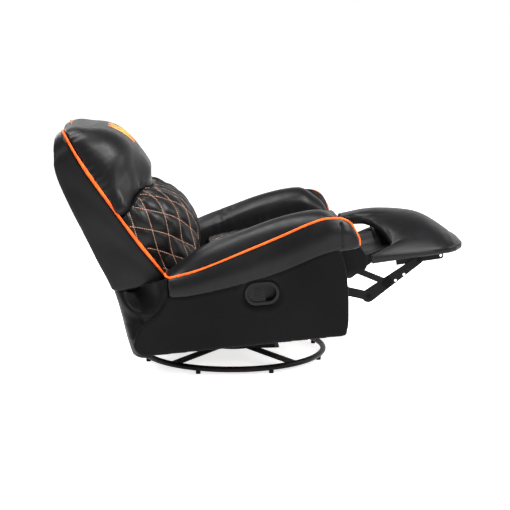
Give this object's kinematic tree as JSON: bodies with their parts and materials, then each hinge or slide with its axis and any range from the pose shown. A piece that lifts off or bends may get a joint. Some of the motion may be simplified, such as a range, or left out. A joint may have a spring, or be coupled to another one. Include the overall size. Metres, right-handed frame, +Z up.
{
  "type": "gaming recliner",
  "caption": "Reclining gaming armchair on a ring swivel base, rocked back with its footrest out; quilted black leather-look cover with orange piping and a release handle.",
  "frame": {"origin": "point on the floor under the base's vertical swivel axis", "axes": "+X towards the footrest, +Y towards the sitter's left, +Z up; the sitter's right arm with the release handle is at -Y"},
  "size_m": [1.5441, 0.8964, 0.9117],
  "materials": {
    "steel_frame": "semi-gloss powder coat",
    "zinc_steel": "black zinc plated",
    "spring_steel": "oiled spring wire",
    "frame_wood": "bare plywood and softwood",
    "glide_plastic": "matte",
    "cage_plastic": "matte",
    "handle_plastic": "fine moulded grain",
    "cable_cover": "smooth sheath",
    "orange_piping": "smooth orange leather-look cord",
    "webbing": "woven elastic",
    "panel_leather": "black leather-look cover over thin foam",
    "quilted_leather": "black leather-look cover, orange-brown diamond stitching, foam fill",
    "cushion_leather": "black leather-look cover over foam"
  },
  "bodies": {
    "base": {"base_ring": "steel_frame", "floor_glides": "glide_plastic", "base_cross": "steel_frame", "lower_swivel_plate": "steel_frame", "bearing_balls": "zinc_steel", "bearing_cage": "cage_plastic", "swivel_bolt": "zinc_steel"},
    "turntable": {"turn_plate": "steel_frame", "rocker_rails": "steel_frame", "pivot_ears": "steel_frame", "rock_pins": "zinc_steel", "rocker_springs": "spring_steel"},
    "chassis": {"rocker_brackets": "steel_frame", "cross_tubes": "steel_frame", "mechanism_plate_left": "steel_frame", "mechanism_plate_right": "steel_frame", "recline_pins": "zinc_steel", "seat_rails": "frame_wood", "front_board": "frame_wood", "seat_springs": "spring_steel", "seat_cushion": "quilted_leather", "side_panel_left": "panel_leather", "side_panel_right": "panel_leather", "arm_frame_left": "frame_wood", "arm_frame_right": "frame_wood", "arm_front_left": "cushion_leather", "arm_front_right": "cushion_leather", "arm_pad_left": "cushion_leather", "arm_pad_right": "cushion_leather", "arm_pipings": "orange_piping", "rear_skirt": "panel_leather", "lower_sheet": "panel_leather", "handle_bezel": "handle_plastic", "latch_pin": "zinc_steel", "release_cable": "cable_cover"},
    "handle": {"pull_handle": "handle_plastic"},
    "latch": {"latch_hook": "zinc_steel"},
    "back": {"back_brackets": "steel_frame", "back_uprights": "frame_wood", "back_rails": "frame_wood", "back_webbing": "webbing", "back_shell": "cushion_leather", "head_cushion": "cushion_leather", "lumbar_cushion": "quilted_leather", "back_piping": "orange_piping"},
    "rear_links": {"rear_link_left": "steel_frame", "rear_link_right": "steel_frame", "torque_tube": "steel_frame", "rear_link_rivets": "zinc_steel"},
    "front_links": {"front_link_left": "steel_frame", "front_link_right": "steel_frame", "front_link_rivets": "zinc_steel"},
    "footrest": {"footrest_bars": "steel_frame", "footrest_board": "frame_wood", "footrest_pad": "cushion_leather", "footrest_tongue": "cushion_leather"},
    "upper_links": {"upper_links": "steel_frame", "upper_link_rivets": "zinc_steel"}
  },
  "joints": [
    {"name": "swivel", "type": "hinge", "parent": "base", "child": "turntable", "pos_m": [0, 0, 0], "axis": [0, 0, 1], "continuous": true},
    {"name": "rock", "type": "hinge", "parent": "turntable", "child": "chassis", "pos_m": [0, 0, 0.15], "axis": [0, -1, 0], "range_deg": [-8, 7], "deforming": ["rocker_springs"]},
    {"name": "recline", "type": "hinge", "parent": "chassis", "child": "back", "pos_m": [-0.26474, 0, 0.30753], "axis": [0, -1, 0], "range_deg": [-10, 30], "deforming": ["rear_skirt"]},
    {"name": "footrest_open", "type": "hinge", "parent": "chassis", "child": "rear_links", "pos_m": [0.29599, 0, 0.38107], "axis": [0, 1, 0], "range_deg": [0, 92.5], "deforming": ["lower_sheet", "footrest_tongue"]},
    {"name": "footrest_knee", "type": "hinge", "parent": "rear_links", "child": "front_links", "pos_m": [0.49663, 0, 0.26773], "axis": [0, 1, 0], "range_deg": [-84.15, 0]},
    {"name": "footrest_ankle", "type": "hinge", "parent": "front_links", "child": "footrest", "pos_m": [0.68806, 0, 0.40333], "axis": [0, 1, 0], "range_deg": [0, 84.15]},
    {"name": "footrest_brace", "type": "hinge", "parent": "chassis", "child": "upper_links", "pos_m": [0.37156, 0, 0.40074], "axis": [0, 1, 0], "range_deg": [0, 101.4]},
    {"name": "handle_pull", "type": "hinge", "parent": "chassis", "child": "handle", "pos_m": [0.04899, -0.44, 0.32142], "axis": [0.0872, 0, -0.9962], "range_deg": [0, 35], "stiffness_Nm_per_rad": 0.6, "springref_deg": -17.19},
    {"name": "latch_turn", "type": "hinge", "parent": "chassis", "child": "latch", "pos_m": [0.13967, -0.2565, 0.27465], "axis": [0, 1, 0], "range_deg": [0, 17.5]}
  ],
  "couplings": [
    {"joint": "footrest_knee", "follows": "footrest_open", "ratio": -0.90973},
    {"joint": "footrest_ankle", "follows": "footrest_open", "ratio": 0.90973},
    {"joint": "footrest_brace", "follows": "footrest_open", "ratio": 1.0962},
    {"joint": "latch_turn", "follows": "handle_pull", "ratio": 0.5}
  ]
}
